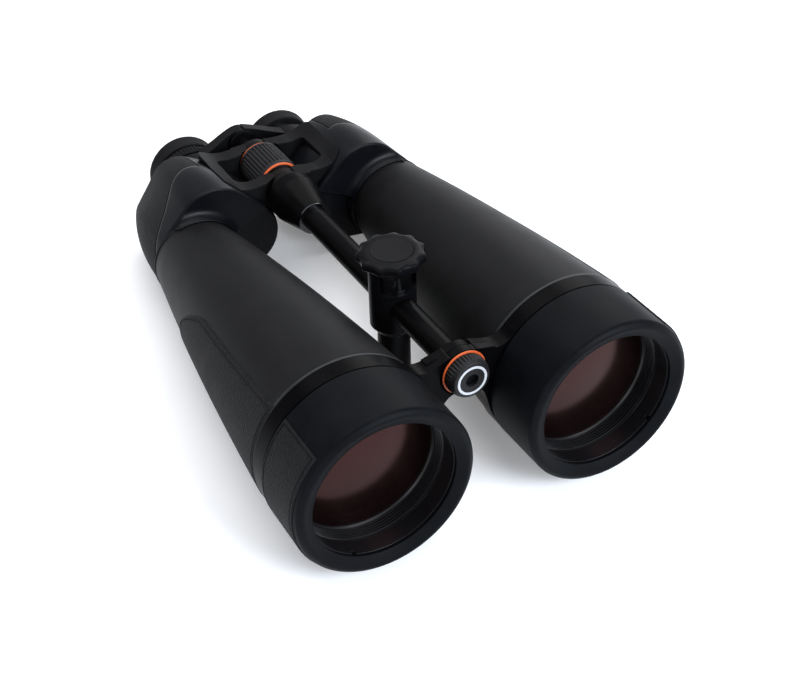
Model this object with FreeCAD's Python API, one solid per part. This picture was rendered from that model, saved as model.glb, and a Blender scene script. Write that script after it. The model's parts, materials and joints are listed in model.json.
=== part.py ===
import FreeCAD, Part
import math
import os

from FreeCAD import Vector

# Giant astronomy binoculars: two Porro-prism telescopes hinged about a long centre rod.
#
# Model space: X to the user's left, Y from the front of the hoods towards the eyes, Z up,
# with the hood fronts at Y = 0 and the objective axes at Z = 0. Millimetres throughout.
# On export everything moves by ROW_SHIFT, which puts the origin at the middle of the
# bounding box's underside. Every half is built on the +X side (the user's left) and
# mirrored for the other one.

# ---- driving dimensions --------------------------------------------------------------
LENGTH = 352.0                 # hood front to eyecup rim
HOOD_R = 51.5                  # outer radius of a hood, which stands on the table
OBJECTIVE = (68.7, 0.0)        # X, Z of the objective axis
PRISM_CORNER = (53.2, 18.1)    # X, Z of the light path between the two prisms
EYE = (35.1, 2.6)              # X, Z of the eyepiece axis: 70.2 mm between the eyes
HINGE = (0.0, 23.3)            # X, Z of the centre rod, about which the halves fold

WALL = 2.5                     # housing wall
FRONT_EDGE, REAR_EDGE = 1.2, 2.0   # rounds on the housing's rims
FIT = 0.05                     # radial clearance of a running fit
GAP = 0.3                      # clearance between faces that pass each other

# stations along Y
LIP_Y = 3.0                    # inner edge of the hood's bevelled mouth
HOOD_END = 40.7
BAND = (41.0, 51.5)            # objective bridge
COLLAR = (217.5, 252.0)        # cone at the rear end of the rod
HOUSING = (249.0, 315.0)       # prism housing
FRONT_KNUCKLES = ((253.0, 258.9), (259.2, 265.0))
REAR_KNUCKLES = ((298.6, 302.8), (303.1, 307.4))
WHEEL = (267.4, 296.4)         # focus wheel
SHELF = (282.0, 284.0)         # plate between the two prisms
GUIDE_END = 325.0              # rear end of the guide tube
CARRIER = (321.0, 331.5)       # ring that carries the eyepiece
DIOPTER = (331.6, 339.0)
EYECUP_Y = 340.8
POST_Y = 118.0                 # tripod post on the rod

# heights of the tripod post
POST_FOOT = -38.0
POST_SEAT = 34.0               # floor of the notch that the knob's collar turns in
KNOB = (45.6, 56.8)            # underside and top of the knob

# radii
LENS_R = 40.6                  # 80 mm clear aperture
CELL_R = 44.6                  # bore of hood and bridge band, where the lens cell sits
BAND_R = 51.3
NECK_R = 27.3                  # barrel where it enters the housing
SOCKET_R = 28.7                # wall round the neck
ROD_R = 7.8
KNUCKLE_R = 12.0
TUBE_R = 7.0                   # centre tube, which carries the wheel
SPINDLE_R = 5.0
WHEEL_R = 15.0
GUIDE_R = 18.5                 # eyepiece guide tube
OCULAR_R = 18.0
POST_R = 13.7
KNOB_DISH_R = 12.3

# housing outline: axis, radius at the front, and how much it has drawn in at the rear
OUTLINE = ((EYE, 25.0, 2.5), (OBJECTIVE, 27.0, 12.5), (PRISM_CORNER, 25.8, 9.0))
ROW_SHIFT = Vector(0, -LENGTH / 2, HOOD_R)


# ---- helpers -------------------------------------------------------------------------
def path(start, *steps):
    """Closed wire of 2-D points. A step is a point, or (mid, end) for an arc, or a list
    of points for a smooth curve through them."""
    edges, here = [], Vector(*start, 0)
    for step in list(steps) + [start]:
        if isinstance(step, list):
            points = [here] + [Vector(*p, 0) for p in step]
            curve = Part.BSplineCurve()
            curve.interpolate(points)
            edges.append(curve.toShape())
            here = points[-1]
            continue
        if isinstance(step[0], tuple):
            mid, end = (Vector(*p, 0) for p in step)
            edges.append(Part.Arc(here, mid, end).toShape())
        else:
            end = Vector(*step, 0)
            if end.distanceToPoint(here) < 1e-6:
                continue
            edges.append(Part.makeLine(here, end))
        here = end
    return Part.Wire(edges)


def turned(axis, *profile, angle=360.0, start=0.0):
    """Solid turned about a line parallel to Y through axis, from a profile of (radius, Y)."""
    face = Part.Face(path(*profile))
    face.rotate(Vector(), Vector(0, 1, 0), -start)
    solid = face.revolve(Vector(), Vector(0, 1, 0), -angle)
    return solid.translated(Vector(axis[0], 0, axis[1]))


def dome(radius, edge, vertex):
    """Middle point of the arc of a lens surface, from its rim to its vertex on the axis."""
    rise = edge - vertex
    sphere = (radius ** 2 + rise ** 2) / (2 * rise)
    half = math.asin(radius / sphere) / 2
    return (sphere * math.sin(half), vertex + sphere * (1 - math.cos(half)))


def lens(axis, radius, front, rear):
    """Lens from the (edge, vertex) stations of its two surfaces."""
    return turned(axis, (0, front[1]), (dome(radius, *front), (radius, front[0])), (radius, rear[0]),
                  (dome(radius, *rear), (0, rear[1])))


def tube(axis, inner, outer, y0, y1):
    """Plain ring, or a disc where inner is 0."""
    place = Vector(axis[0], y0, axis[1])
    ring = Part.makeCylinder(outer, y1 - y0, place, Vector(0, 1, 0))
    if inner:
        ring = ring.cut(Part.makeCylinder(inner, y1 - y0, place, Vector(0, 1, 0)))
    return ring


def box(x, y, z):
    """Box from three (low, high) pairs."""
    size = [b - a for a, b in (x, y, z)]
    return Part.makeBox(*size, Vector(x[0], y[0], z[0]))


def extruded_xz(wire, y0, y1):
    """Solid whose section is a wire of (X, Z) points, between two stations."""
    face = Part.Face(wire)
    face.rotate(Vector(), Vector(1, 0, 0), 90)
    return face.extrude(Vector(0, y1 - y0, 0)).translated(Vector(0, y0, 0))


def extruded_xy(wire, z0, z1):
    """Solid whose plan is a wire of (X, Y) points, between two heights."""
    return Part.Face(wire).extrude(Vector(0, 0, z1 - z0)).translated(Vector(0, 0, z0))


def extruded_yz(wire, x0, x1):
    """Solid whose side view is a wire of (Y, Z) points, between two X values."""
    face = Part.Face(wire)
    face.rotate(Vector(), Vector(1, 1, 1), 120)
    return face.extrude(Vector(x1 - x0, 0, 0)).translated(Vector(x0, 0, 0))


def around(axis, count, shape_at_top, start=0.0):
    """Copies of a shape turned about a line parallel to Y."""
    centre = Vector(axis[0], 0, axis[1])
    turn = 360.0 / count
    return [shape_at_top.rotated(centre, Vector(0, 1, 0), start + i * turn) for i in range(count)]


def outline(y, grow=0.0):
    """Outline of the housing at a station: the hull of three circles that draw in to the rear."""
    front, rear = HOUSING
    drawn_in = (max(0.0, y - front) / (rear - front)) ** 2.2
    circles = [(axis, radius - taper * drawn_in + grow) for axis, radius, taper in OUTLINE]
    normals = []
    for (a, ra), (b, rb) in zip(circles, circles[1:] + circles[:1]):
        run, rise = b[0] - a[0], b[1] - a[1]
        normals.append(math.atan2(rise, run) - math.acos((ra - rb) / math.hypot(run, rise)))

    def on(circle, angle):
        (x, z), r = circle
        return (x + r * math.cos(angle), z + r * math.sin(angle))

    steps = []
    for i, circle in enumerate(circles):
        first, last = normals[i - 1], normals[i]
        while last < first:
            last += 2 * math.pi
        steps += [on(circle, first), (on(circle, (first + last) / 2), on(circle, last))]
    wire = path(steps[0], *steps[1:])
    wire.rotate(Vector(), Vector(1, 0, 0), 90)
    return wire.translated(Vector(0, y, 0))


def hull(y0, y1, grow=0.0, front_round=0.0, rear_round=0.0):
    """Length of the tapering housing as a solid, grown or shrunk all round, with rounded rims."""
    sections = 2 if y1 - y0 < 5 else 6
    stations = [y0 + (y1 - y0) * i / (sections - 1) for i in range(sections)]
    solid = Part.makeLoft([outline(y, grow) for y in stations], True)
    for y, radius in ((y0, front_round), (y1, rear_round)):
        if radius:
            rim = [e for e in solid.Edges
                   if abs(e.BoundBox.YMin - y) < 0.01 and abs(e.BoundBox.YMax - y) < 0.01]
            solid = solid.makeFillet(radius, rim)
    return solid


def knurled(axis, radius, depth, count, y0, y1, inner=0.0):
    """Ring with lengthwise grooves cut into it."""
    ring = tube(axis, inner, radius, y0, y1)
    groove = Part.makeCylinder(depth, y1 - y0, Vector(axis[0], y0, axis[1] + radius), Vector(0, 1, 0))
    return ring.cut(around(axis, count, groove))


def mirrored(shape):
    return shape.mirror(Vector(), Vector(1, 0, 0))


# ---- objective end -------------------------------------------------------------------
def hood():
    """Rubber-clad front tube with a bevelled mouth."""
    return turned(
        OBJECTIVE,
        (41.5, LIP_Y), (47.2, 0.0), ((50.1, 1.2), (HOOD_R, 4.2)), (HOOD_R, HOOD_END - 0.8),
        (HOOD_R - 0.8, HOOD_END), (CELL_R, HOOD_END), (CELL_R, LIP_Y + 2), (41.5, LIP_Y + 2),
    )


def hood_grip():
    """Pebbled pad that wraps the outer side of the hood."""
    reach = 46.0
    r0, r1 = HOOD_R, HOOD_R + 0.9
    return turned(
        OBJECTIVE,
        (r0, 5.0), (r1, 5.8), (r1, HOOD_END - 1.6), (r0, HOOD_END - 0.8),
        angle=2 * reach, start=-reach,
    )


def spanner_ring(notch_angle):
    """Threaded ring that holds the lens cell in the hood, with two spanner notches."""
    front, rear = LIP_Y + 2, 16.4
    ring = turned(OBJECTIVE, (41.3, front), (CELL_R, front), (CELL_R, rear), (42.1, rear), (41.9, front + 3))
    notch = box((OBJECTIVE[0] - 1.2, OBJECTIVE[0] + 1.2), (front, front + 2.2), (40.0, 43.2))
    return ring.cut(around(OBJECTIVE, 2, notch, 90 - notch_angle))


def lens_cell():
    """Tube that seats the objective lenses against a rear shoulder, threaded in front."""
    thread, pitch, rings = 42.9, 2.4, 4
    front = 16.4
    steps = [(CELL_R, front), (CELL_R, 57.0), (37.6, 57.0), (38.6, 42.0), (LENS_R, 42.0), (LENS_R, 27.0)]
    steps.append((41.6, front + rings * pitch + 0.4))
    for i in reversed(range(rings)):
        steps += [(thread, front + (i + 0.75) * pitch), (thread - 0.9, front + (i + 0.25) * pitch)]
    return turned(OBJECTIVE, (thread - 0.2, front), *steps)


def objective_lenses():
    """Air-spaced achromat: a biconvex crown and a meniscus flint."""
    crown = lens(OBJECTIVE, LENS_R, (27.0, 23.0), (30.0, 34.0))
    flint = lens(OBJECTIVE, LENS_R, (30.4, 34.4), (37.0, 38.6))
    return Part.makeCompound([crown, flint])


def bridge_band(knuckle):
    """Band round the front of the barrel, with a tall web to its knuckle on the rod."""
    front, rear = BAND
    hx, hz = HINGE
    web = extruded_xz(
        path((hx, hz + 13.2), [(8.0, hz + 12.0), (20.0, 31.4), (33.0, 37.0)], (44.0, 20.0), (40.0, -22.0),
             (24.0, -22.0), [(18.5, -13.5), (10.5, hz - 16.0), (hx, hz - 13.2)]),
        front, rear)
    whole = tube(OBJECTIVE, 0, BAND_R, front, rear).fuse(web)
    whole = whole.cut(tube(OBJECTIVE, 0, CELL_R, front, rear))
    whole = whole.cut(tube(HINGE, 0, 14.4, front, rear))
    boss = tube(HINGE, ROD_R + FIT, 13.6, *knuckle)
    link = extruded_xz(path((6.0, hz - 13), (20.0, hz - 20), (20.0, hz + 9), (6.0, hz + 12.2)), *knuckle)
    link = link.cut(tube(HINGE, 0, 13.6, front, rear)).cut(tube(OBJECTIVE, 0, CELL_R + 1, front, rear))
    return whole.fuse([boss, link]).removeSplitter()


def barrel_outer(y):
    """Barrel radius at a station: a shallow arc from band to neck."""
    bulge, span = 2.1, HOUSING[0] - BAND[1]
    t = (y - BAND[1]) / span
    return 50.7 + (NECK_R - 50.7) * t + 4 * bulge * t * (1 - t)


def barrel():
    """Tapered objective tube, hollow, with a socket for the lens cell."""
    front, rear = BAND[1], HOUSING[0]
    mid = (front + rear) / 2
    wall = 3.0
    return turned(
        OBJECTIVE,
        (CELL_R, front), (50.7, front), ((barrel_outer(mid), mid), (NECK_R, rear)), (NECK_R - wall, rear),
        ((barrel_outer(mid) - wall, mid), (CELL_R, 60.0)),
    )


def barrel_grip():
    """Pebbled tongue-shaped pad on the outer side of the barrel."""
    front, proud = BAND[1], 1.1
    mid = (front + HOUSING[0]) / 2

    def outside(grow):
        return turned(OBJECTIVE, (0, front), (barrel_outer(front) + grow, front),
                      ((barrel_outer(mid) + grow, mid), (NECK_R + grow, HOUSING[0])), (0, HOUSING[0]))

    skin = outside(proud).cut(outside(0))
    start = front + 0.4
    edge = [(110.0, 30.5), (150.0, 23.8), (176.0, 13.0), (184.5, 0.0), (176.0, -13.0), (150.0, -23.8),
            (110.0, -30.5), (start, -37.0)]
    return skin.common(extruded_yz(path((start, 37.0), edge), OBJECTIVE[0], OBJECTIVE[0] + 60))


# ---- prism housing -------------------------------------------------------------------
def below_seam(y0, y1, inset=0.0):
    """Inner lower part of the front face, below its parting line."""
    edge = path(
        (-5.0, 31.0 - inset), (40.0, 10.3 - inset), (62.0 - inset, 0.0),
        (62.0 - inset, -35.0), (-5.0, -35.0))
    return extruded_xz(edge, y0, y1).cut(tube(OBJECTIVE, 0, SOCKET_R + inset, y0 - 1, y1 + 1))


def grip_region(shift=0.0):
    """Space that the textured panel takes up: behind a slanting seam, on the outer side."""
    side = path(
        (249.0 + shift, -40.0), (249.0 + shift, 9.5 - shift), (262.0 + shift, 22.5 - shift),
        ((279.0 + shift, 37.0 - shift), (293.0 + shift, 43.0)), (293.0 + shift, 60.0),
        (330.0, 60.0), (330.0, -40.0))
    return extruded_yz(side, 46.0 + shift, 120.0)


def housing_skin():
    """Outer millimetre of the housing."""
    front, rear = HOUSING
    return hull(front, rear, 0.0, FRONT_EDGE, REAR_EDGE).cut(hull(front, rear - 1.0, -1.0))


def prism_housing():
    """Cast shell that holds both prisms, with a collar round the barrel's neck."""
    front, rear = HOUSING
    shell = hull(front, rear, 0.0, FRONT_EDGE, REAR_EDGE).cut(hull(256.0, rear - WALL, -WALL))
    collar = turned(OBJECTIVE, (SOCKET_R, 243.0), ((30.3, 247.2), (34.5, front)), (34.5, front + 3),
                    (NECK_R, front + 3), (NECK_R, front))
    shell = shell.fuse(collar.common(hull(front - 10, front + 5, -FRONT_EDGE)))
    shell = shell.cut(housing_skin().common(grip_region())).cut(below_seam(front - 10, 253.5))
    shell = shell.cut(tube(OBJECTIVE, 0, NECK_R - 3.0, front - 1, 258.0))
    shell = shell.cut(tube(EYE, 0, GUIDE_R - 1.0, rear - 5, rear + 1))
    return shell.cut(tube(HINGE, 0, 17.0, front - 10, rear + 5))


def housing_grip():
    """Textured rubber panel let into the outer and rear sides of the housing."""
    front, rear = HOUSING
    panel = housing_skin().common(grip_region(0.7)).cut(below_seam(front - 1, 254.0))
    return panel.cut(tube(EYE, 0, 21.5, rear - 5, rear + 5))


def front_cover():
    """Plate that closes the housing in front of the second prism."""
    plate = hull(251.5, 253.5, -0.5).common(below_seam(251.0, 254.0, GAP))
    return plate.cut(tube(HINGE, 0, 17.5, 240, 260))


def rear_cover():
    """Flange on the back of the housing with the tube that guides the eyepiece."""
    rear = HOUSING[1]
    return turned(EYE, (GUIDE_R - 1.5, rear), (20.5, rear), (20.5, rear + 1.0), (19.7, rear + 1.8),
                  (GUIDE_R, rear + 1.8), (GUIDE_R, GUIDE_END), (GUIDE_R - 1.5, GUIDE_END))


def prism(first, second, face_y, apex):
    """Right-angle prism that shifts the light from the first axis to the second."""
    reach, half_width, blunt = 23.8, 11.0, 2.0
    run, rise = second[0] - first[0], second[1] - first[1]
    middle = Vector((first[0] + second[0]) / 2, 0, (first[1] + second[1]) / 2)
    side = Part.Face(path(
        (-reach + blunt, face_y), (reach - blunt, face_y), (reach - blunt, face_y + apex * blunt * 0.6),
        (blunt, face_y + apex * (reach - blunt)), (-blunt, face_y + apex * (reach - blunt)),
        (-reach + blunt, face_y + apex * blunt * 0.6)))
    solid = side.extrude(Vector(0, 0, 2 * half_width)).translated(Vector(0, 0, -half_width))
    solid.rotate(Vector(), Vector(0, 1, 0), -math.degrees(math.atan2(rise, run)))
    return solid.translated(middle)


def prisms():
    """The two Porro prisms, one on each side of the shelf."""
    rear_prism = prism(OBJECTIVE, PRISM_CORNER, SHELF[1], 1)
    front_prism = prism(PRISM_CORNER, EYE, SHELF[0], -1)
    return Part.makeCompound([rear_prism, front_prism])


def prism_shelf():
    """Plate across the housing with a window on each of the three light paths."""
    plate = hull(*SHELF, -WALL)
    for axis in (OBJECTIVE, PRISM_CORNER, EYE):
        plate = plate.cut(tube(axis, 0, 10.2, SHELF[0] - 1, SHELF[1] + 1))
    return plate


def hinge_frame(knuckles):
    """Frame on the inner slope of the housing, with an arm to each end of the focus wheel."""
    outline_wire = path(
        (0.0, 260.0), [(9.0, 258.0), (14.0, 254.8), (22.0, 253.8), (31.0, 253.9)],
        [(36.0, 255.4), (40.0, 261.0)],
        (40.0, 301.0), [(38.6, 305.6), (33.0, 307.4)],
        [(24.0, 306.6), (14.0, 306.0), (7.0, 307.4), (0.0, 308.0)])
    window = path(
        (-1.0, 269.6), [(10.0, 268.0), (14.5, 264.6), (21.0, 263.6), (27.0, 264.8)],
        [(30.0, 266.8), (31.0, 270.0)],
        (31.0, 291.5), [(30.0, 295.0), (27.0, 296.2)], [(18.0, 295.2), (11.0, 296.6), (-1.0, 299.0)])
    section = path((0.0, 34.0), (20.0, 33.4), [(26.0, 33.3), (31.0, 34.4), (36.0, 36.8), (42.0, 39.8)],
                   (42.0, 25.0), (20.0, 6.0), (0.0, 12.0))
    body = extruded_xz(section, 245, 315).fuse(hull(HOUSING[0], HOUSING[1], 0.7))
    frame = extruded_xy(outline_wire, 0, 60).common(body)
    frame = frame.cut(extruded_xy(window, 0, 60)).cut(hull(*HOUSING))
    frame = frame.cut([tube(HINGE, 0, KNUCKLE_R + 0.5, 245, 315), tube(HINGE, 0, WHEEL_R + 1, 265.3, 298.3)])
    webs = []
    for y0, y1 in knuckles:
        webs.append(tube(HINGE, TUBE_R + FIT, KNUCKLE_R, y0, y1))
        root = extruded_xz(path((5.0, 33.8), (16.0, 33.5), (16.0, 8.4), (5.0, 10.5)), y0, y1)
        webs.append(root.cut(tube(HINGE, 0, KNUCKLE_R - 0.5, 245, 315)).cut(hull(*HOUSING)))
    return frame.fuse(webs).removeSplitter()


# ---- eyepieces -----------------------------------------------------------------------
def carrier(knuckle, lip, seat):
    """Ring that slides on the guide tube, with an arm to the focusing spindle. Its lip holds
    the eyepiece tube, and the arm keeps clear of the eyepiece behind seat."""
    front, rear = CARRIER[0], max(lip[1], seat)
    ring = turned(
        EYE, (0, front), (21.4, front), (22.0, front + 0.6), (22.0, rear - 0.6), (21.4, rear), (0, rear))
    plan = path((3.0, 326.2), [(10.0, 325.9), (18.0, 323.6), (25.0, 321.8), (32.0, front)], (32.0, 329.6),
                [(25.0, 330.4), (18.0, 331.6), (10.0, 333.4), (3.0, 333.8)])
    section = path((3.0, 33.8), [(16.0, 29.6), (30.0, 25.0)], (34.0, 10.0), [(20.0, 13.0), (3.0, 14.0)])
    arm = extruded_xy(plan, 0, 60).common(extruded_xz(section, 310, 345))
    arm = arm.cut([tube(HINGE, 0, 10.4, 310, 345), tube(EYE, 0, 23.6, seat, 345)])
    boss = tube(HINGE, 6.0 + FIT, 10.0, *knuckle)
    link = extruded_xz(path((4.0, 32.4), (13.0, 30.2), (13.0, 14.4), (4.0, 14.6)), *knuckle)
    whole = ring.fuse([arm, link.cut(tube(HINGE, 0, 9.5, 310, 345)), boss])
    bore = tube(EYE, 0, GUIDE_R + FIT, front - 1, rear + 12)
    bore = bore.cut(tube(EYE, GUIDE_R - 1.6 + FIT, GUIDE_R + 1, *lip))
    return whole.cut(bore).removeSplitter()


def ocular():
    """Inner eyepiece tube with seats for its lenses, and a step for the eyecup sleeve."""
    front, step, rear = 312.0, 331.0, 347.5
    return turned(
        EYE,
        (13.6, front), (GUIDE_R - 1.6, front), (GUIDE_R - 1.6, step), (OCULAR_R, step),
        (OCULAR_R, rear - 0.6),
        (OCULAR_R - 0.6, rear), (14.2, rear), (12.4, rear - 3.5), (12.4, rear - 9.5), (11.4, rear - 9.5),
        (11.4, step), (13.6, step),
    )


def ocular_lenses():
    """Field lens group and eye lens."""
    field = lens(EYE, 13.6, (315.4, 313.6), (321.0, 323.2))
    eye = lens(EYE, 12.4, (338.6, 337.3), (342.8, 344.2))
    return Part.makeCompound([field, eye])


def eyecup_sleeve():
    """Threaded sleeve that lifts the eyecup along the eyepiece."""
    return tube(EYE, OCULAR_R + FIT, 20.0, EYECUP_Y, 347.0)


def eyecup():
    """Rubber cup with a rounded rim and an inner wall that shades the eye lens."""
    rim = LENGTH
    return turned(
        EYE,
        (20.0 + FIT, EYECUP_Y), (22.9, EYECUP_Y), ((23.9, 343.0), (24.3, 348.5)),
        ((23.6, rim - 0.9), (21.6, rim)),
        ((20.4, rim - 0.5), (19.8, rim - 1.6)), (18.8, 347.9), (18.8, 347.3), (20.0 + FIT, 347.3),
    )


def diopter_ring():
    """Knurled ring that focuses the right eyepiece on its own."""
    ring = knurled(EYE, 23.0, 0.7, 40, *DIOPTER, inner=OCULAR_R + FIT)
    tracks = [tube(EYE, 22.3, 24.0, y, y + 0.9) for y in (DIOPTER[0], DIOPTER[1] - 0.9)]
    return ring.cut(tracks)


# ---- centre line ---------------------------------------------------------------------
def centre_rod():
    """Long rod between the objective bridge and the rear hinge, with a front stud."""
    rod = tube(HINGE, 0, ROD_R, BAND[0], COLLAR[1] - 6)
    stud = tube(HINGE, 0, 3.8, BAND[0] - 7, BAND[0])
    return rod.fuse(stud)


def hinge_collar():
    """Cone that joins the rod to the centre tube of the hinge."""
    front, rear = COLLAR
    return turned(
        HINGE,
        (ROD_R, front), (10.3, front), (10.7, front + 0.6), (15.4, rear - 13), (16.0, rear - 10),
        (16.0, rear - 2.2),
        (13.8, rear), (TUBE_R, rear), (TUBE_R, rear - 6), (ROD_R, rear - 6),
    )


def collar_ring():
    """Thin bright ring on the front of the collar."""
    return tube(HINGE, ROD_R, 10.5, COLLAR[0] - 0.9, COLLAR[0])


def centre_tube():
    """Hollow hinge tube through the knuckles and the wheel, slotted for the drive pin."""
    start, end = COLLAR[1] - 6, REAR_KNUCKLES[1][1] + 0.6
    body = tube(HINGE, SPINDLE_R + FIT, TUBE_R, start, end)
    plug = tube(HINGE, 0, SPINDLE_R + FIT, start, start + 3)
    slot = box((-8, 8), (274.5, 289.5), (HINGE[1] - 1.6, HINGE[1] + 1.6))
    return body.cut(slot).fuse(plug)


def focus_wheel():
    """Ribbed drum with a hollow for the drive pin."""
    front, rear = WHEEL
    drum = tube(HINGE, TUBE_R + FIT, WHEEL_R, front, rear)
    rib = box((-0.55, 0.55), (front + 2.4, rear - 2.4), (HINGE[1] + WHEEL_R - 0.8, HINGE[1] + WHEEL_R + 1))
    drum = drum.cut(around(HINGE, 48, rib))
    rims = [tube(HINGE, 14.55, WHEEL_R + 1, y, y + 0.7) for y in (front, rear - 0.7)]
    return drum.cut(rims).cut(tube(HINGE, 0, 9.9, 273.5, 290.5))


def focus_rings():
    """Coloured trim rings at both ends of the wheel."""
    front, rear = WHEEL
    return Part.makeCompound([
        turned(
            HINGE, (TUBE_R + 0.4, y0), (13.7, y0), (14.3, y0 + 0.5), (14.3, y0 + 1.1), (TUBE_R + 0.4, y0 + 1.1))
        for y0 in (front - 1.1, rear)])


def focus_spindle():
    """Sliding spindle with its drive pin, and the hub that the eyepiece arms swing on."""
    front, groove, rear = 323.4, (325.9, 333.8), 336.4
    shaft = tube(HINGE, 0, SPINDLE_R, 270.0, front + 1)
    pin = Part.makeCylinder(1.5, 19.0, Vector(HINGE[0] - 9.5, 282.0, HINGE[1]), Vector(1, 0, 0))
    hub = turned(HINGE, (0, front), (9.2, front), (10.0, front + 0.8), (10.0, groove[0]), (6.0, groove[0]),
                 (6.0, groove[1]), (10.0, groove[1]), (10.0, rear - 1.6), ((9.3, rear - 0.5), (7.6, rear)), (0, rear))
    return shaft.fuse([pin, hub])


def front_cap():
    """Knurled cap on the front end of the rod."""
    front, rear = 31.8, 39.9
    body = turned(HINGE, (0, front), (9.4, front), ((11.3, front + 0.8), (12.0, front + 2.8)), (12.6, rear),
                  (0, rear))
    groove = Part.makeCone(0.45, 0.75, rear - front, Vector(HINGE[0], front + 1, HINGE[1] + 12.1), Vector(0, 1, 0))
    body = body.cut(around(HINGE, 36, groove))
    body = body.cut(tube(HINGE, 7.6, 9.0, front - 1, front + 0.6))
    return body.cut(tube(HINGE, 0, 3.8 + FIT, BAND[0] - 7.4, rear + 1))


def front_cap_ring():
    """Coloured trim ring behind the cap."""
    return turned(HINGE, (3.9, 39.9), (13.4, 39.9), (14.0, 40.2), (14.0, 40.7), (3.9, 40.7))


def front_cap_disc():
    """Plain light ring let into the face of the cap."""
    return turned(HINGE, (7.6, 31.7), (9.0, 31.7), (9.0, 32.4), (7.6, 32.4))


# ---- tripod post ---------------------------------------------------------------------
def upright(radius, z0, z1, inner=0.0):
    """Ring about the post's vertical axis."""
    ring = Part.makeCylinder(radius, z1 - z0, Vector(0, POST_Y, z0))
    if inner:
        ring = ring.cut(Part.makeCylinder(inner, z1 - z0, Vector(0, POST_Y, z0)))
    return ring


def post_body():
    """Clamp block that slides on the rod, with a stem for the tripod below it."""
    block = upright(POST_R, 8.0, 45.2)
    shoulder = Part.makeCone(9.6, POST_R, 5.0, Vector(0, POST_Y, 3.0))
    stem = upright(9.6, POST_FOOT, 3.0)
    body = block.fuse([shoulder, stem])
    notch = box((-11.6, 11.6), (POST_Y - 20, POST_Y + 20), (POST_SEAT, 46.0))
    rod_hole = tube(HINGE, 0, ROD_R + FIT, POST_Y - 20, POST_Y + 20)
    body = body.cut([notch, rod_hole, upright(4.0, 24.0, 36.0), upright(5.5, POST_FOOT, POST_FOOT + 12)])
    foot = [e for e in body.Edges if abs(e.BoundBox.ZMax - POST_FOOT) < 1e-3 and e.BoundBox.XLength > 18]
    return body.makeChamfer(0.8, foot)


def post_insert():
    """Threaded brass bush for a tripod screw."""
    return upright(5.5, POST_FOOT, POST_FOOT + 12, 2.55)


def clamp_shoe():
    """Soft pad that the knob's screw presses on the rod."""
    pad = upright(4.0, 29.0, 32.6)
    return pad.cut(tube(HINGE, 0, ROD_R + FIT, POST_Y - 10, POST_Y + 10))


def knob_collar():
    """Polished collar and screw under the knob."""
    collar = upright(11.2, POST_SEAT + 0.3, KNOB[0])
    return collar.fuse(upright(3.95, 32.9, POST_SEAT + 1))


def post_knob():
    """Locking knob with wide shallow scallops, a bevelled crown and a tapering skirt."""
    lobes, lobe_r, flute_r, flute_depth = 11, 19.4, 7.0, 1.4
    base, top = KNOB
    rim = top - 6.4
    disc = upright(lobe_r, rim, top)
    flute = Part.makeCylinder(flute_r, top - rim, Vector(0, POST_Y + lobe_r + flute_r - flute_depth, rim))
    disc = disc.cut([flute.rotated(Vector(0, POST_Y, 0), Vector(0, 0, 1), (i + 0.5) * 360 / lobes)
                     for i in range(lobes)])
    bevel = Part.makeCone(20.6, 18.2, 2.4, Vector(0, POST_Y, top - 2.4))
    disc = disc.common(upright(20.6, rim, top - 2.4).fuse(bevel))
    skirt = Part.makeCone(13.4, 14.6, rim - base, Vector(0, POST_Y, base))
    return disc.fuse(skirt).cut(upright(KNOB_DISH_R + FIT, top - 0.5, top))


def knob_disc():
    """Plain inlay in the top of the knob."""
    return upright(KNOB_DISH_R, KNOB[1] - 0.5, KNOB[1] + 0.1)


# ---- assembly ------------------------------------------------------------------------
def half_parts(index):
    """Sub-parts of one half, on the +X side. index 0 is the left half, 1 the right one."""
    bands = ((BAND[0], 46.1), (46.4, BAND[1]))
    eye_knuckles = ((326.2, 329.7), (330.0, 333.5))
    notch_angle = (-41.0, -63.0)[index]
    lip, seat = (((329.4, 331.0), CARRIER[1]), ((328.2, 329.3), 329.3))[index]
    parts = {
        "hood": hood(),
        "hood_grip": hood_grip(),
        "spanner_ring": spanner_ring(notch_angle),
        "lens_cell": lens_cell(),
        "objective_lenses": objective_lenses(),
        "bridge_band": bridge_band(bands[index]),
        "barrel": barrel(),
        "barrel_grip": barrel_grip(),
        "prism_housing": prism_housing(),
        "housing_grip": housing_grip(),
        "front_cover": front_cover(),
        "rear_cover": rear_cover(),
        "prisms": prisms(),
        "prism_shelf": prism_shelf(),
        "hinge_frame": hinge_frame((FRONT_KNUCKLES[index], REAR_KNUCKLES[index])),
        "eyepiece_carrier": carrier(eye_knuckles[index], lip, seat),
        "ocular": ocular(),
        "ocular_lenses": ocular_lenses(),
        "eyecup_sleeve": eyecup_sleeve(),
        "eyecup": eyecup(),
    }
    if index == 1:
        parts["diopter_ring"] = diopter_ring()
    return parts


def centre_parts():
    return {
        "centre_rod": centre_rod(),
        "hinge_collar": hinge_collar(),
        "collar_ring": collar_ring(),
        "centre_tube": centre_tube(),
        "focus_wheel": focus_wheel(),
        "focus_rings": focus_rings(),
        "focus_spindle": focus_spindle(),
        "front_cap": front_cap(),
        "front_cap_ring": front_cap_ring(),
        "front_cap_disc": front_cap_disc(),
        "post_body": post_body(),
        "post_insert": post_insert(),
        "clamp_shoe": clamp_shoe(),
        "post_knob": post_knob(),
        "knob_collar": knob_collar(),
        "knob_disc": knob_disc(),
    }


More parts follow.
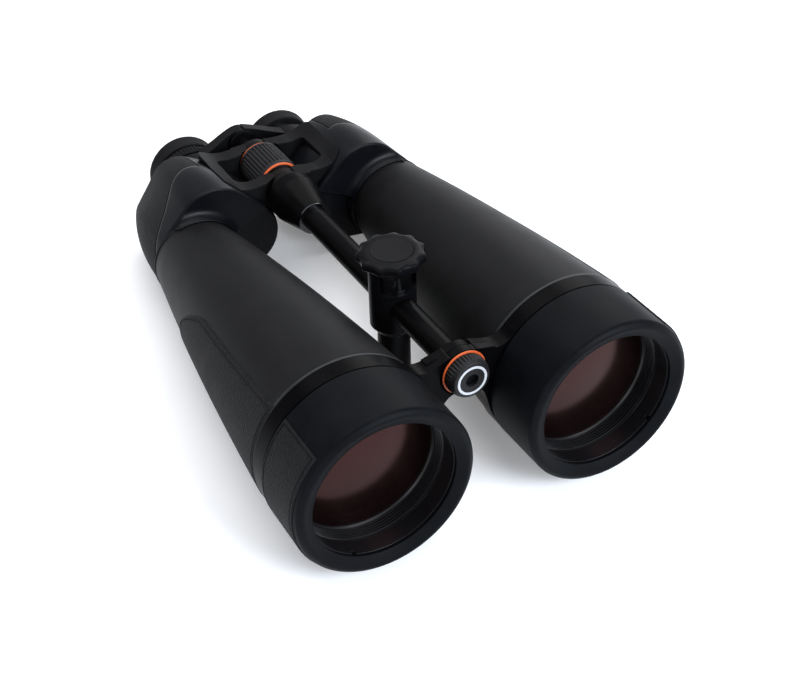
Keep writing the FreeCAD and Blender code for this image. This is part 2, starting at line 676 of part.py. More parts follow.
def main():
    os.makedirs("parts", exist_ok=True)
    parts = centre_parts()
    for index, side in enumerate(("left", "right")):
        for name, shape in half_parts(index).items():
            parts[f"{side}_{name}"] = mirrored(shape) if index else shape
    for name, shape in parts.items():
        solids = [s.translated(ROW_SHIFT) for s in shape.Solids]
        bad = [s for s in solids if not s.isValid() or s.Volume < 0.01]
        whole = solids[0] if len(solids) == 1 else Part.makeCompound(solids)
        whole.exportStep(f"parts/{name}.step")
        print(f"{name:24} solids {len(solids)}  volume {whole.Volume:10.1f}  {'BAD' if bad else ''}")


main()
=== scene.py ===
import json
import math

import bmesh
import bpy
from mathutils import Matrix, Vector


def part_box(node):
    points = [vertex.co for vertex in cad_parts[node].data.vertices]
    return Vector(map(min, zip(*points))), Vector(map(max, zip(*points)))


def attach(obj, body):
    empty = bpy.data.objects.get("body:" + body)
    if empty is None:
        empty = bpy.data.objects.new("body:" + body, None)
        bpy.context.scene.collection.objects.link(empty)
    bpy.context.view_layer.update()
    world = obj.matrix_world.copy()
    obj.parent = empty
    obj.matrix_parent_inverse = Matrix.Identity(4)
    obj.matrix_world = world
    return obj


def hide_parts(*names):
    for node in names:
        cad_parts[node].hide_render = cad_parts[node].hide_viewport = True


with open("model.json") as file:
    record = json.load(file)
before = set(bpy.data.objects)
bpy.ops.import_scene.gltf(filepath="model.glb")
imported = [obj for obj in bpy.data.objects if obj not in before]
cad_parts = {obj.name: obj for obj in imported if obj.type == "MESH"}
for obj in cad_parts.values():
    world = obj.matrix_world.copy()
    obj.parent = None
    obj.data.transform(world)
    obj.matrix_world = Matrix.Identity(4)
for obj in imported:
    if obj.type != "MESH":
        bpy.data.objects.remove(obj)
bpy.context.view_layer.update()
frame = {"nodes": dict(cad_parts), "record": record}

# ---- places, all read from the frame ---------------------------------------------------
# Stations run along +Y from the hoods' front rim, in mm; radii are in mm.


def centre(node):
    lo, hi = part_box(node)
    return (lo + hi) / 2


FRONT_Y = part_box("left_hood")[0].y * 1000
SIDES = {"left": 1, "right": -1}
OBJECTIVE = {s: centre(f"{s}_barrel") for s in SIDES}
EYE = {s: centre(f"{s}_eyecup") for s in SIDES}
HINGE = centre("focus_wheel")
POST = centre("post_knob")
POST_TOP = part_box("post_knob")[1].z * 1000

# ---- sizes of the finer shapes, in mm --------------------------------------------------
HOOD_R, HOOD_BORE = 51.5, 44.65
MOUTH_R = 41.5
BARREL_R, NECK_R, BULGE = 50.7, 27.3, 2.1
LIP_R = 51.3
THREAD_TURNS, THREAD_PITCH = 5, 1.7
PAD_TIP = 184.0                                   # station of the barrel pad's rounded end
PAD_FRONT, PAD_HALF, PAD_TAPER = 52.0, 36.6, 0.112
PAD_CURVE_START, PAD_CURVE_HALF = 105.0, 32.0
GROOVE_DEPTH, GROOVE_INSET, GROOVE_WIDTH = 0.55, 2.1, 0.45
EDGE_STEPS = (0.3, 0.65, 1.05, 1.4, 1.75, 2.1, 2.45, 2.8, 3.3)
GUIDE_R = 18.1
WHEEL_R, WHEEL_RIBS = 14.95, 36
CAP_RIBS, DIOPTRE_RIBS = 36, 56
KNOB_R, DISH_R, LOBES = 19.9, 12.3, 11
LOBE_REACH, LOBE_DIP = math.radians(14.0), 1.5
HOOD_PAD_HALF = 46.0                              # in degrees round the hood
NOTCH_AT = {"left": 131.0, "right": 153.0}        # in degrees round the retaining ring
NOTCH_HALF, NOTCH_LENGTH, NOTCH_DEPTH = math.radians(1.6), 1.2, 2.2
BEVEL_STEPS, BEVEL_SHARE = 5, 0.49                # share of a side that a bevel may take
SEAM = 1e-7                                       # in metres


def station(node, end):
    """Station of a node's front (0) or rear (1) end."""
    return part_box(node)[end].y * 1000 - FRONT_Y


# ---- mesh building ---------------------------------------------------------------------
def eased(corners, closed=True):
    """Polyline from (r, s, bevel) corners, each rounded by its bevel. A fourth number is kept."""
    out = []
    count = len(corners)
    for i, corner in enumerate(corners):
        r, s, bevel = corner[:3]
        tag = corner[3:]
        if not bevel or (not closed and i in (0, count - 1)):
            out.append((r, s, *tag))
            continue
        here = Vector((r, s))
        before = Vector(corners[i - 1][:2]) - here
        after = Vector(corners[(i + 1) % count][:2]) - here
        cut = min(bevel, before.length * BEVEL_SHARE, after.length * BEVEL_SHARE)
        a, b = here + before.normalized() * cut, here + after.normalized() * cut
        for k in range(BEVEL_STEPS + 1):
            t = k / BEVEL_STEPS
            p = a * (1 - t) ** 2 + here * 2 * t * (1 - t) + b * t ** 2
            out.append((p.x, p.y, *tag))
    return out


def cleaned(name, bm):
    """Mesh from bm, with its seams joined and its faces turned outward."""
    bmesh.ops.remove_doubles(bm, verts=bm.verts, dist=SEAM)
    bmesh.ops.recalc_face_normals(bm, faces=bm.faces)
    mesh = bpy.data.meshes.new(name)
    bm.to_mesh(mesh)
    bm.free()
    return mesh


def turned_mesh(name, axis, profile, segments, closed=True, shape=None, upright=False):
    """Mesh turned about a line parallel to Y, or to Z if upright, through axis. shape(angle, row)
    gives the change in radius and station of a point, for ribs, scallops and notches."""
    bm = bmesh.new()
    rings = []
    for i in range(segments):
        angle = math.tau * i / segments
        ring = []
        for row in profile:
            r, s = row[0], row[1]
            if shape:
                dr, ds = shape(angle, row)
                r, s = r + dr, s + ds
            if upright:
                p = Vector((axis.x * 1000 + r * math.sin(angle), axis.y * 1000 + r * math.cos(angle), s))
            else:
                p = Vector((axis.x * 1000 + r * math.sin(angle), FRONT_Y + s,
                            axis.z * 1000 + r * math.cos(angle)))
            ring.append(bm.verts.new(p / 1000))
        rings.append(ring)
    rows = len(profile)
    for a, b in zip(rings, rings[1:] + rings[:1]):
        for k in range(rows if closed else rows - 1):
            n = (k + 1) % rows
            bm.faces.new((a[k], a[n], b[n], b[k]))
    return cleaned(name, bm)


def ribs(count, depth, sharpness):
    """Grooves cut by depth, as a share of each row's third number."""
    def shape(angle, row):
        wave = 0.5 - 0.5 * math.cos(angle * count)
        return -depth * wave ** sharpness * row[2], 0.0
    return shape


def pad_mesh(name, surface, rows, half_width, thickness, edge, columns):
    """Raised pad on a curved surface. surface(station, across, height) is a point; half_width(station)
    is the pad's half width; its border rises over the distance edge, and a groove runs just inside it."""
    bm = bmesh.new()
    grid = []
    first, last = rows[0], rows[-1]
    for s in rows:
        wide = half_width(s)
        line = []
        for k in range(columns + 1):
            share = math.sin(math.pi * (k / columns - 0.5))
            across = wide * share
            border = min(wide - abs(across), s - first, last - s)
            rise = max(0.0, min(1.0, border / edge))
            groove = GROOVE_DEPTH * math.exp(-((border - GROOVE_INSET) / GROOVE_WIDTH) ** 2)
            height = thickness * math.sqrt(max(0.0, 1 - (1 - rise) ** 2)) - groove
            line.append(bm.verts.new(surface(s, across, height)))
        grid.append(line)
    for a, b in zip(grid, grid[1:]):
        for k in range(columns):
            bm.faces.new((a[k], a[k + 1], b[k + 1], b[k]))
    return cleaned(name, bm)


# ---- materials -------------------------------------------------------------------------
PATCH_SCALE, PATCH_DETAIL = 55.0, 4.0
GRAIN_SHARE, GRAIN_DETAIL = 0.45, 3.0
PEBBLE_SOFTNESS, NOISE_ROUGHNESS = 0.45, 0.6
COLOUR_START, ROUGH_START = 0.45, 0.35            # where the pattern starts to show in each
GLASS_ROUGHNESS, GLASS_RIPPLE = (0.17, 0.22), [("noise", 60.0, 0.002, 2.0)]


def material(name, dark, light, rough, bumps, metallic=0.0, specular=0.5, round_edges=0.0):
    """Procedural surface. dark and light are the two ends of its colour variation, rough its
    roughness range, bumps a list of (texture, scale per metre, depth in mm, detail)."""
    m = bpy.data.materials.new(name)
    m.use_nodes = True
    nodes, links = m.node_tree.nodes, m.node_tree.links
    shader = nodes["Principled BSDF"]
    place = nodes.new("ShaderNodeTexCoord")

    def texture(kind, scale, detail):
        if kind == "pebble":
            t = nodes.new("ShaderNodeTexVoronoi")
            t.feature = "SMOOTH_F1"
            t.inputs["Smoothness"].default_value = PEBBLE_SOFTNESS
            output = "Distance"
        elif kind == "rings":
            t = nodes.new("ShaderNodeTexWave")
            t.bands_direction = "Y"
            t.inputs["Distortion"].default_value = 0.0
            output = "Fac"
        else:
            t = nodes.new("ShaderNodeTexNoise")
            t.inputs["Detail"].default_value = detail
            t.inputs["Roughness"].default_value = NOISE_ROUGHNESS
            output = "Fac"
        t.inputs["Scale"].default_value = scale
        links.new(place.outputs["Object"], t.inputs["Vector"])
        return t.outputs[output]

    cloud = texture("noise", PATCH_SCALE, PATCH_DETAIL)
    grain = texture("noise", bumps[0][1], GRAIN_DETAIL)
    mixed = nodes.new("ShaderNodeMath")
    mixed.operation = "MULTIPLY_ADD"
    links.new(grain, mixed.inputs[0])
    mixed.inputs[1].default_value = GRAIN_SHARE
    links.new(cloud, mixed.inputs[2])
    ramp = nodes.new("ShaderNodeValToRGB")
    ramp.color_ramp.elements[0].position = COLOUR_START
    ramp.color_ramp.elements[0].color = (*dark, 1)
    ramp.color_ramp.elements[1].position = 1.0
    ramp.color_ramp.elements[1].color = (*light, 1)
    links.new(mixed.outputs[0], ramp.inputs["Fac"])
    links.new(ramp.outputs["Color"], shader.inputs["Base Color"])
    spread = nodes.new("ShaderNodeMapRange")
    spread.inputs["From Min"].default_value = ROUGH_START
    spread.inputs["From Max"].default_value = 1.0
    spread.inputs["To Min"].default_value = rough[0]
    spread.inputs["To Max"].default_value = rough[1]
    links.new(mixed.outputs[0], spread.inputs["Value"])
    links.new(spread.outputs["Result"], shader.inputs["Roughness"])
    normal = None
    if round_edges:
        bevel = nodes.new("ShaderNodeBevel")
        bevel.samples = 4
        bevel.inputs["Radius"].default_value = round_edges / 1000
        normal = bevel.outputs["Normal"]
    for kind, scale, depth, detail in bumps:
        bump = nodes.new("ShaderNodeBump")
        bump.inputs["Distance"].default_value = depth / 1000
        bump.inputs["Strength"].default_value = 1.0
        bump.invert = kind == "pebble"
        links.new(texture(kind, scale, detail), bump.inputs["Height"])
        if normal:
            links.new(normal, bump.inputs["Normal"])
        normal = bump.outputs["Normal"]
    links.new(normal, shader.inputs["Normal"])
    shader.inputs["Metallic"].default_value = metallic
    shader.inputs["Specular IOR Level"].default_value = specular
    return m


def glass(name, colour, tint, ior, alpha):
    """Coated lens: dark body seen through a tinted mirror-like coating."""
    m = material(name, colour, [c * 1.5 for c in colour], GLASS_ROUGHNESS, GLASS_RIPPLE)
    shader = m.node_tree.nodes["Principled BSDF"]
    shader.inputs["IOR"].default_value = ior
    shader.inputs["Specular Tint"].default_value = (*tint, 1)
    shader.inputs["Alpha"].default_value = alpha
    return m


GRAIN = [("noise", 2600.0, 0.02, 3.0), ("noise", 700.0, 0.012, 2.0)]
MATERIALS = {
    "body_rubber": material("satin_armour", (0.0045, 0.0045, 0.0049), (0.0085, 0.0085, 0.009),
                            (0.42, 0.55), GRAIN, specular=0.095),
    "hood_rubber": material("hood_armour", (0.0022, 0.0025, 0.0032), (0.0045, 0.0052, 0.0065),
                            (0.38, 0.52), GRAIN, specular=0.04),
    "housing_rubber": material("housing_armour", (0.0016, 0.0018, 0.0027), (0.0040, 0.0043, 0.0060),
                               (0.29, 0.40), GRAIN, specular=0.11, round_edges=1.6),
    "grip_rubber": material("pebbled_armour", (0.0018, 0.0018, 0.0021), (0.0145, 0.0145, 0.0162),
                            (0.48, 0.72),
                            [("pebble", 1050.0, 0.55, 0), ("noise", 3600.0, 0.10, 3.0)], specular=0.085),
    "body_black": material("satin_paint", (0.0008, 0.0008, 0.0010), (0.0022, 0.0022, 0.0026), (0.24, 0.34),
                           [("noise", 3200.0, 0.012, 3.0)], specular=0.03, round_edges=0.6),
    "ring_black": material("gloss_anodised", (0.004, 0.004, 0.0046), (0.008, 0.008, 0.009), (0.26, 0.36),
                           [("noise", 1400.0, 0.002, 2.0)], specular=0.30),
    "rod_black": material("rod_paint", (0.0014, 0.0014, 0.0016), (0.003, 0.003, 0.0034), (0.28, 0.38),
                          [("noise", 2800.0, 0.010, 2.0)], specular=0.035, round_edges=0.4),
    "frame_black": material("frame_plastic", (0.003, 0.003, 0.0033), (0.0065, 0.0065, 0.007), (0.40, 0.52),
                            [("noise", 2400.0, 0.03, 3.0)], specular=0.07, round_edges=0.9),
    "wheel_rubber": material("wheel_rubber", (0.007, 0.007, 0.0075), (0.015, 0.015, 0.016), (0.38, 0.52),
                             [("noise", 2600.0, 0.02, 3.0)], specular=0.15),
    "orange_trim": material("orange_trim", (0.50, 0.075, 0.018), (0.66, 0.13, 0.035), (0.30, 0.42),
                            [("noise", 1800.0, 0.01, 2.0)], specular=0.3),
    "bright_steel": material("bright_ring", (0.11, 0.11, 0.12), (0.20, 0.20, 0.21), (0.16, 0.26),
                             [("noise", 1500.0, 0.004, 2.0)], metallic=1.0),
    "knob_gloss": material("knob_gloss", (0.0025, 0.0025, 0.003), (0.005, 0.005, 0.006), (0.22, 0.34),
                           [("noise", 900.0, 0.012, 2.0)], specular=0.05, round_edges=0.5),
    "knob_inlay": material("knob_inlay", (0.0025, 0.0025, 0.0028), (0.0055, 0.0055, 0.006), (0.36, 0.48),
                           [("noise", 2000.0, 0.02, 3.0)], specular=0.06),
    "cap_disc": material("pale_ring", (0.40, 0.42, 0.44), (0.60, 0.62, 0.65), (0.35, 0.5),
                         [("noise", 1500.0, 0.01, 2.0)]),
    "coated_glass": glass("coated_lens", (0.0034, 0.0016, 0.0015), (1.0, 0.31, 0.29), 1.37, 1.0),
    "eye_glass": glass("eye_lens", (0.004, 0.006, 0.006), (0.7, 0.9, 1.0), 1.8, 1.0),
    "prism_glass": glass("prism_glass", (0.30, 0.33, 0.34), (1.0, 1.0, 1.0), 1.52, 0.5),
    "inner_aluminium": material("shelf_aluminium", (0.30, 0.30, 0.31), (0.45, 0.45, 0.46), (0.4, 0.55),
                                [("noise", 1500.0, 0.01, 2.0)], metallic=1.0),
    "eyecup_rubber": material("eyecup_rubber", (0.0045, 0.0045, 0.005), (0.009, 0.009, 0.0098), (0.50, 0.66),
                              [("noise", 2200.0, 0.03, 3.0)], specular=0.08),
    "brass_bush": material("brass_bush", (0.45, 0.30, 0.10), (0.62, 0.44, 0.18), (0.25, 0.4),
                           [("rings", 1300.0, 0.05, 0)], metallic=1.0),
    "shoe_plastic": material("shoe_plastic", (0.55, 0.54, 0.48), (0.70, 0.68, 0.62), (0.45, 0.6),
                             [("noise", 1800.0, 0.02, 2.0)]),
}
# Lighter, shinier copy of the barrel armour for the barrel lip: the lighter colour is a painted highlight
# along the lip's edge, not the rubber's own colour.
LIP_PAINTED_HIGHLIGHT = material("lip_painted_highlight", (0.012, 0.0122, 0.0135), (0.022, 0.0225, 0.025), (0.38, 0.50), GRAIN,
                      specular=0.22)
for part in frame["record"]["subparts"]:
    node = frame["nodes"][part["node"]]
    node.data.materials.clear()
    node.data.materials.append(MATERIALS[part["material_slot"]])


def piece(name, mesh, body, slot, replaces=(), sharp=32, look=None):
    """Object from a mesh: smooth shading, the material of its record slot unless look is given, and its
    body.
    """
    mesh.validate()
    mesh.shade_smooth()
    mesh.set_sharp_from_angle(angle=math.radians(sharp))
    obj = bpy.data.objects.new(name, mesh)
    bpy.context.scene.collection.objects.link(obj)
    obj.data.materials.append(look or MATERIALS[slot])
    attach(obj, body)
    if replaces:
        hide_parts(*replaces)


# ---- objective end ---------------------------------------------------------------------
def arc(r0, s0, r1, s1, bulge, count):
    """Points on a shallow arc between two profile points."""
    out = []
    for k in range(count + 1):
        t = k / count
        out.append((r0 + (r1 - r0) * t + 4 * bulge * t * (1 - t), s0 + (s1 - s0) * t))
    return out


BARREL_FRONT, BARREL_REAR = station("left_barrel", 0), station("left_barrel", 1)


def barrel_radius(s):
    t = (s - BARREL_FRONT) / (BARREL_REAR - BARREL_FRONT)
    return BARREL_R + (NECK_R - BARREL_R) * t + 4 * BULGE * t * (1 - t)


def grip_width(s):
    """Half width of the barrel pad at a station."""
    straight = PAD_HALF - (s - PAD_FRONT) * PAD_TAPER
    if s >= PAD_TIP:
        return 0.0
    if s <= PAD_CURVE_START:
        return straight
    share = (s - PAD_CURVE_START) / (PAD_TIP - PAD_CURVE_START)
    return min(straight, PAD_CURVE_HALF * math.sqrt(max(0.0, 1 - share ** 2)))


for side, sign in SIDES.items():
    body = f"{side}_half"
    axis = OBJECTIVE[side]
    hood_end = station(f"{side}_hood", 1)
    outer = eased([
        (MOUTH_R, 3.0, 0.35), (46.9, 0.0, 0.9), (48.6, 0.1, 0.8), (HOOD_R - 0.05, 2.2, 2.2),
        (HOOD_R, hood_end - 0.9, 0.0), (HOOD_R - 0.7, hood_end, 0.3), (HOOD_BORE, hood_end, 0),
        (HOOD_BORE, 4.8, 0), (MOUTH_R, 4.8, 0.2)])
    piece(f"{side}_hood_shell", turned_mesh(f"{side}_hood_shell", axis, outer, 256), body, "hood_rubber",
          [f"{side}_hood"])

    def hood_point(s, across, height, axis=axis, sign=sign):
        angle = math.radians(across)
        r = HOOD_R - 0.05 + height
        return Vector((axis.x * 1000 + sign * r * math.cos(angle), FRONT_Y + s,
                       axis.z * 1000 + r * math.sin(angle))) / 1000

    rows = [5.0 + (hood_end - 6.0) * k / 40 for k in range(41)]
    rows += [rows[0] + d for d in EDGE_STEPS] + [rows[-1] - d for d in EDGE_STEPS]
    rows.sort()
    piece(f"{side}_hood_pad",
          pad_mesh(f"{side}_hood_pad", hood_point, rows, lambda s: HOOD_PAD_HALF, 0.9, 0.9, 144),
          body, "grip_rubber", [f"{side}_hood_grip"])

    # retaining ring with two spanner notches
    front = station(f"{side}_spanner_ring", 0)
    notch = math.radians(NOTCH_AT[side]) * sign

    def notched(angle, row, notch=notch, front=front):
        near = min(abs(math.remainder(angle - notch, 2 * math.pi)),
                   abs(math.remainder(angle - notch - math.pi, 2 * math.pi)))
        return 0.0, (NOTCH_DEPTH if near < NOTCH_HALF and row[1] < front + NOTCH_LENGTH else 0.0)

    ring = eased([(41.35, front + 0.3, 0.3), (44.6, front + 0.3, 0), (44.6, front + 11.4, 0),
                  (42.1, front + 11.4, 0.3), (41.8, front + 5, 0)])
    piece(f"{side}_retaining_ring",
          turned_mesh(f"{side}_retaining_ring", axis, ring, 360, shape=notched),
          body, "ring_black", [f"{side}_spanner_ring"])

    # lens cell: fine thread, then a smooth wall down to the glass
    thread = [(44.5, front + 11.5), (44.5, 56.9), (37.7, 56.9), (38.6, 42.0), (40.75, 41.8), (40.75, 27.4),
              (41.7, 26.2)]
    for k in range(THREAD_TURNS):
        s = 25.6 - k * THREAD_PITCH
        thread += [(41.75, s), (41.8, s - 0.35), (42.75, s - 0.7), (42.75, s - 1.35)]
    thread.append((43.2, front + 11.5))
    piece(f"{side}_cell_thread", turned_mesh(f"{side}_cell_thread", axis, thread, 256), body, "ring_black",
          [f"{side}_lens_cell"], sharp=20)

    # front element, a shallow dome with a ground edge
    glass_front, rim_s, rim_r = station(f"{side}_objective_lenses", 0), 27.0, 40.55
    rise = rim_s - glass_front
    sphere = (rim_r ** 2 + rise ** 2) / (2 * rise)
    dome = [(rim_r * k / 40, glass_front + sphere - math.sqrt(sphere ** 2 - (rim_r * k / 40) ** 2))
            for k in range(41)]
    dome += [(rim_r, rim_s + 3), (0.0, rim_s + 6)]
    piece(f"{side}_front_element",
          turned_mesh(f"{side}_front_element", axis, dome, 192, closed=False),
          body, "coated_glass", [f"{side}_objective_lenses"])

    # barrel, with a bead at the neck
    wall = arc(BARREL_R, BARREL_FRONT + 2.4, NECK_R, BARREL_REAR - 1.6, BULGE, 48)
    outside = [(50.0, BARREL_FRONT + 0.05), (50.5, BARREL_FRONT + 0.12), (50.85, BARREL_FRONT + 0.4),
               (51.0, BARREL_FRONT + 0.8), (50.95, BARREL_FRONT + 1.3)] + wall
    outside += [(27.55, BARREL_REAR - 1.5), (27.8, BARREL_REAR - 1.1), (27.8, BARREL_REAR - 0.6),
                (27.5, BARREL_REAR - 0.05), (24.4, BARREL_REAR - 0.05)]
    inner_wall = arc(BARREL_R, 62.0, NECK_R, BARREL_REAR - 2, BULGE, 12)
    inside = [(max(r - 3.0, 24.4), s) for r, s in reversed(inner_wall)]
    inside += [(44.7, 60.0), (44.7, BARREL_FRONT + 0.05)]
    piece(f"{side}_barrel_shell", turned_mesh(f"{side}_barrel_shell", axis, outside + inside, 256),
          body, "body_rubber", [f"{side}_barrel"], sharp=40)

    # rounded lip that the band butts against, in a lighter copy of the armour: its lighter colour is a
    # painted highlight along the edge
    lip = eased([(50.2, BARREL_FRONT + 0.1, 0), (LIP_R, BARREL_FRONT + 0.1, 0.6),
                 (LIP_R, BARREL_FRONT + 1.9, 0.9), (50.2, BARREL_FRONT + 2.3, 0)])
    piece(f"{side}_barrel_lip", turned_mesh(f"{side}_barrel_lip", axis, lip, 256), body, "body_rubber",
          look=LIP_PAINTED_HIGHLIGHT)

    def barrel_point(s, across, height, axis=axis, sign=sign):
        r = barrel_radius(s) + height
        angle = math.asin(max(-1.0, min(1.0, across / r)))
        return Vector((axis.x * 1000 + sign * r * math.cos(angle), FRONT_Y + s,
                       axis.z * 1000 + r * math.sin(angle))) / 1000

    first = station(f"{side}_barrel_grip", 0)
    rows = [first] + [first + d for d in EDGE_STEPS]
    rows += [first + 4 + (PAD_TIP - first - 4) * k / 90 for k in range(85)]
    rows += [PAD_TIP - (PAD_TIP - rows[-1]) * (0.6 ** k) for k in range(1, 10)] + [PAD_TIP]
    piece(f"{side}_barrel_pad",
          pad_mesh(f"{side}_barrel_pad", barrel_point, rows, grip_width, 1.05, 1.0, 128),
          body, "grip_rubber", [f"{side}_barrel_grip"])

# ---- eyepieces -------------------------------------------------------------------------
for side, sign in SIDES.items():
    axis = EYE[side]
    front, rim = station(f"{side}_eyecup", 0), station(f"{side}_eyecup", 1)
    cup = eased([
        (20.1, front, 0), (22.6, front, 0.6), (23.2, front + 1.6, 0.8), (23.4, front + 4.0, 1.0),
        (24.2, front + 7.4, 1.2), (24.2, rim - 1.6, 1.4), (22.4, rim, 1.2), (20.9, rim, 0.8),
        (19.6, rim - 1.6, 0.8), (18.9, rim - 4.0, 0.2), (18.9, rim - 4.6, 0), (20.1, rim - 4.8, 0)])
    piece(f"{side}_eyecup_rubber", turned_mesh(f"{side}_eyecup_rubber", axis, cup, 160), f"{side}_cup",
          "eyecup_rubber", [f"{side}_eyecup"])

front, rear = station("right_diopter_ring", 0), station("right_diopter_ring", 1)
ring = eased([
    (GUIDE_R, front, 0, 0), (22.0, front, 0.3, 0), (22.3, front + 0.9, 0.2, 0), (22.95, front + 1.2, 0.3, 1),
    (22.95, rear - 1.2, 0.3, 1), (22.3, rear - 0.9, 0.2, 0), (22.0, rear, 0.3, 0), (GUIDE_R, rear, 0, 0)])
piece("dioptre_knurl",
      turned_mesh("dioptre_knurl", EYE["right"], ring, 480, shape=ribs(DIOPTRE_RIBS, 0.85, 1.5)),
      "diopter", "frame_black", ["right_diopter_ring"])

# ---- centre line -----------------------------------------------------------------------
front, rear = station("focus_wheel", 0), station("focus_wheel", 1)
drum = eased([
    (7.1, front, 0, 0), (13.9, front, 0.3, 0), (14.9, front + 0.5, 0.4, 0), (14.9, front + 2.0, 0.3, 0),
    (WHEEL_R, front + 2.6, 0.4, 1), (WHEEL_R, rear - 2.6, 0.4, 1), (14.9, rear - 2.0, 0.3, 0),
    (14.9, rear - 0.5, 0.4, 0), (13.9, rear, 0.3, 0), (7.1, rear, 0, 0)])
piece("wheel_drum", turned_mesh("wheel_drum", HINGE, drum, 576, shape=ribs(WHEEL_RIBS, 0.9, 1.8)),
      "focus_wheel", "wheel_rubber", ["focus_wheel"])
for name, s in (("wheel_ring_front", front - 1.1), ("wheel_ring_rear", rear)):
    trim = eased([(12.9, s + 0.02, 0.2), (14.1, s + 0.02, 0.35), (14.3, s + 0.55, 0.2),
                  (14.1, s + 1.08, 0.35), (12.9, s + 1.08, 0)])
    piece(name, turned_mesh(name, HINGE, trim, 128), "focus_wheel", "orange_trim", ["focus_rings"])

front, rear = station("front_cap_ring", 0), station("front_cap_ring", 1)
ring_r = (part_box("front_cap_ring")[1].x - HINGE.x) * 1000 - 0.6
ring = eased([(4.5, front + 0.02, 0), (ring_r - 0.1, front + 0.02, 0.3), (ring_r, (front + rear) / 2, 0.2),
              (ring_r - 0.1, rear - 0.02, 0.3), (4.5, rear - 0.02, 0)])
piece("cap_trim", turned_mesh("cap_trim", HINGE, ring, 128), "cap_ring", "orange_trim", ["front_cap_ring"])

front, rear = station("front_cap", 0), station("front_cap", 1)
cap = eased([
    (3.9, front + 0.1, 0, 0), (7.6, front + 0.1, 0.1, 0), (7.7, front + 0.55, 0, 0),
    (8.9, front + 0.55, 0, 0), (9.0, front + 0.05, 0.15, 0), (10.9, front + 0.3, 0.7, 0),
    (11.9, front + 2.4, 0.6, 0.3), (12.2, front + 3.4, 0.3, 1), (12.5, rear - 0.5, 0.3, 1),
    (12.2, rear, 0.2, 0), (3.9, rear, 0, 0)])
piece("cap_knurl", turned_mesh("cap_knurl", HINGE, cap, 432, shape=ribs(CAP_RIBS, 0.7, 1.4)),
      "front_cap", "wheel_rubber", ["front_cap"])

# ---- knob ------------------------------------------------------------------------------
def scallops(angle, row):
    """Wide shallow hollows between the knob's lobes, as a share of each row's third number."""
    share = row[2]
    turn = math.remainder(angle - math.pi / LOBES, 2 * math.pi / LOBES)
    dip = 1 - (turn / LOBE_REACH) ** 2 if abs(turn) < LOBE_REACH else 0.0
    return -LOBE_DIP * share * dip, 0.0


top = POST_TOP
knob = eased([
    (0.0, top - 0.55, 0, 0), (DISH_R, top - 0.55, 0, 0), (DISH_R + 0.2, top - 0.05, 0.3, 0),
    (16.0, top - 0.12, 0.8, 0.2), (KNOB_R - 0.9, top - 0.9, 1.0, 1), (KNOB_R, top - 2.0, 0.9, 1),
    (KNOB_R, top - 5.4, 0.7, 1), (KNOB_R - 1.3, top - 6.4, 0.5, 1), (14.8, top - 6.7, 0.3, 0.1),
    (13.4, top - 11.1, 0.3, 0), (0.0, top - 11.1, 0, 0)], closed=False)
piece("knob_scallops",
      turned_mesh("knob_scallops", POST, knob, 528, closed=False, shape=scallops, upright=True),
      "knob", "knob_gloss", ["post_knob"], sharp=45)
dish = [(12.25, top - 0.5), (12.25, top + 0.05), (11.6, top + 0.08)]
dish += [(11.3 * (1 - k / 12), top - 0.12 + 0.18 * (1 - k / 12) ** 2) for k in range(13)]
piece("knob_dish", turned_mesh("knob_dish", POST, dish, 160, closed=False, upright=True),
      "knob", "knob_inlay", ["knob_disc"])

# ---- floor, light and camera -----------------------------------------------------------
# The part rests on its bridge bands, the swell of its barrels and its eyecups, which lie within
# 0.04 mm of one plane, so the floor slopes a little against the frame.
TOUCH_STATION, TOUCH_Z = station("left_bridge_band", 1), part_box("left_bridge_band")[0].z
SLOPE = 0.0991
FLOOR_GAP = 0.0003
FLOOR_REACH, FLOOR_CELLS = 4.0, 8
FLOOR_GLOW = 0.19


def floor_height(y):
    return TOUCH_Z + SLOPE * (y - (FRONT_Y + TOUCH_STATION) / 1000) - FLOOR_GAP


bm = bmesh.new()
cell = FLOOR_REACH / FLOOR_CELLS
grid = [[bm.verts.new((x * cell, y * cell, floor_height(y * cell)))
         for x in range(-FLOOR_CELLS, FLOOR_CELLS + 1)] for y in range(-FLOOR_CELLS, FLOOR_CELLS + 1)]
for a, b in zip(grid, grid[1:]):
    for k in range(2 * FLOOR_CELLS):
        bm.faces.new((a[k], a[k + 1], b[k + 1], b[k]))
floor_mesh = bpy.data.meshes.new("floor")
bm.to_mesh(floor_mesh)
bm.free()
floor_look = material("pale_floor", (0.86, 0.87, 0.89), (0.90, 0.905, 0.915), (0.55, 0.7),
                      [("noise", 300.0, 0.01, 2.0)], specular=0.1)
floor_shader = floor_look.node_tree.nodes["Principled BSDF"]
floor_shader.inputs["Emission Color"].default_value = (1, 1, 1, 1)
floor_shader.inputs["Emission Strength"].default_value = FLOOR_GLOW
floor_mesh.materials.append(floor_look)
floor = bpy.data.objects.new("floor", floor_mesh)
bpy.context.scene.collection.objects.link(floor)


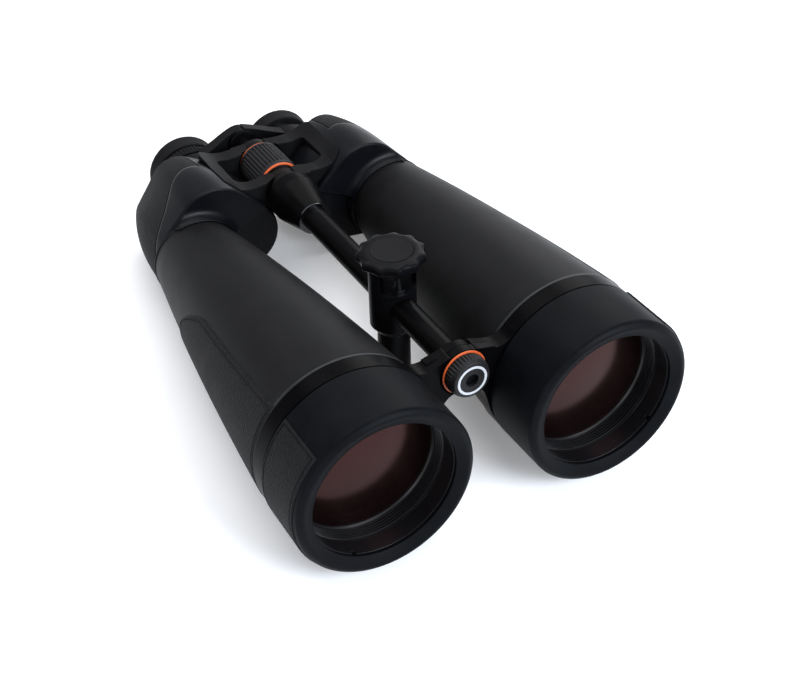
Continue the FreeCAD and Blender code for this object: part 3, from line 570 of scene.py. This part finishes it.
def softbox(name, place, aim, size, power, colour=(1, 1, 1)):
    light = bpy.data.lights.new(name, "AREA")
    light.shape = "RECTANGLE"
    light.size, light.size_y = size
    light.energy = power
    light.color = colour
    obj = bpy.data.objects.new(name, light)
    obj.location = place
    obj.rotation_euler = (Vector(aim) - Vector(place)).to_track_quat("-Z", "Y").to_euler()
    bpy.context.scene.collection.objects.link(obj)


softbox("overhead", (0.1, 0.4, 1.7), (0.0, 0.0, 0.05), (1.9, 1.5), 27)
softbox("back_right", (1.1, 0.9, 0.9), (0.05, 0.0, 0.05), (0.9, 0.9), 7)
softbox("front_left", (-1.2, -1.2, 0.7), (0.0, 0.0, 0.05), (1.0, 0.8), 6, (0.88, 0.93, 1.0))
softbox("front_right", (0.6, -1.4, 0.8), (0.05, 0.0, 0.05), (1.0, 0.6), 34, (0.86, 0.92, 1.0))

world = bpy.data.worlds.new("studio")
world.use_nodes = True
world.node_tree.nodes["Background"].inputs["Color"].default_value = (0.93, 0.95, 1.0, 1)
world.node_tree.nodes["Background"].inputs["Strength"].default_value = 0.52
bpy.context.scene.world = world
bpy.context.scene.view_settings.view_transform = "Standard"

CAMERA_PLACE = Vector((-0.3093, -0.6373, 0.5486))
CAMERA_AHEAD = Vector((0.3722, 0.6983, -0.6115))
CAMERA_ROLL = math.radians(-1.8574)
SENSOR_WIDTH, FOCAL_LENGTH = 36.0, 64.992122
ahead = CAMERA_AHEAD.normalized()
level = ahead.cross(Vector((0, 0, 1))).normalized()
above = level.cross(ahead)
right = level * math.cos(CAMERA_ROLL) + above * math.sin(CAMERA_ROLL)
up = above * math.cos(CAMERA_ROLL) - level * math.sin(CAMERA_ROLL)
turn = Matrix((right, up, -ahead)).transposed().to_4x4()
camera_data = bpy.data.cameras.new("camera")
camera_data.sensor_width = SENSOR_WIDTH
camera_data.lens = FOCAL_LENGTH
camera_data.clip_start = 0.01
camera = bpy.data.objects.new("camera", camera_data)
camera.matrix_world = Matrix.Translation(CAMERA_PLACE) @ turn
bpy.context.scene.collection.objects.link(camera)
bpy.context.scene.camera = camera
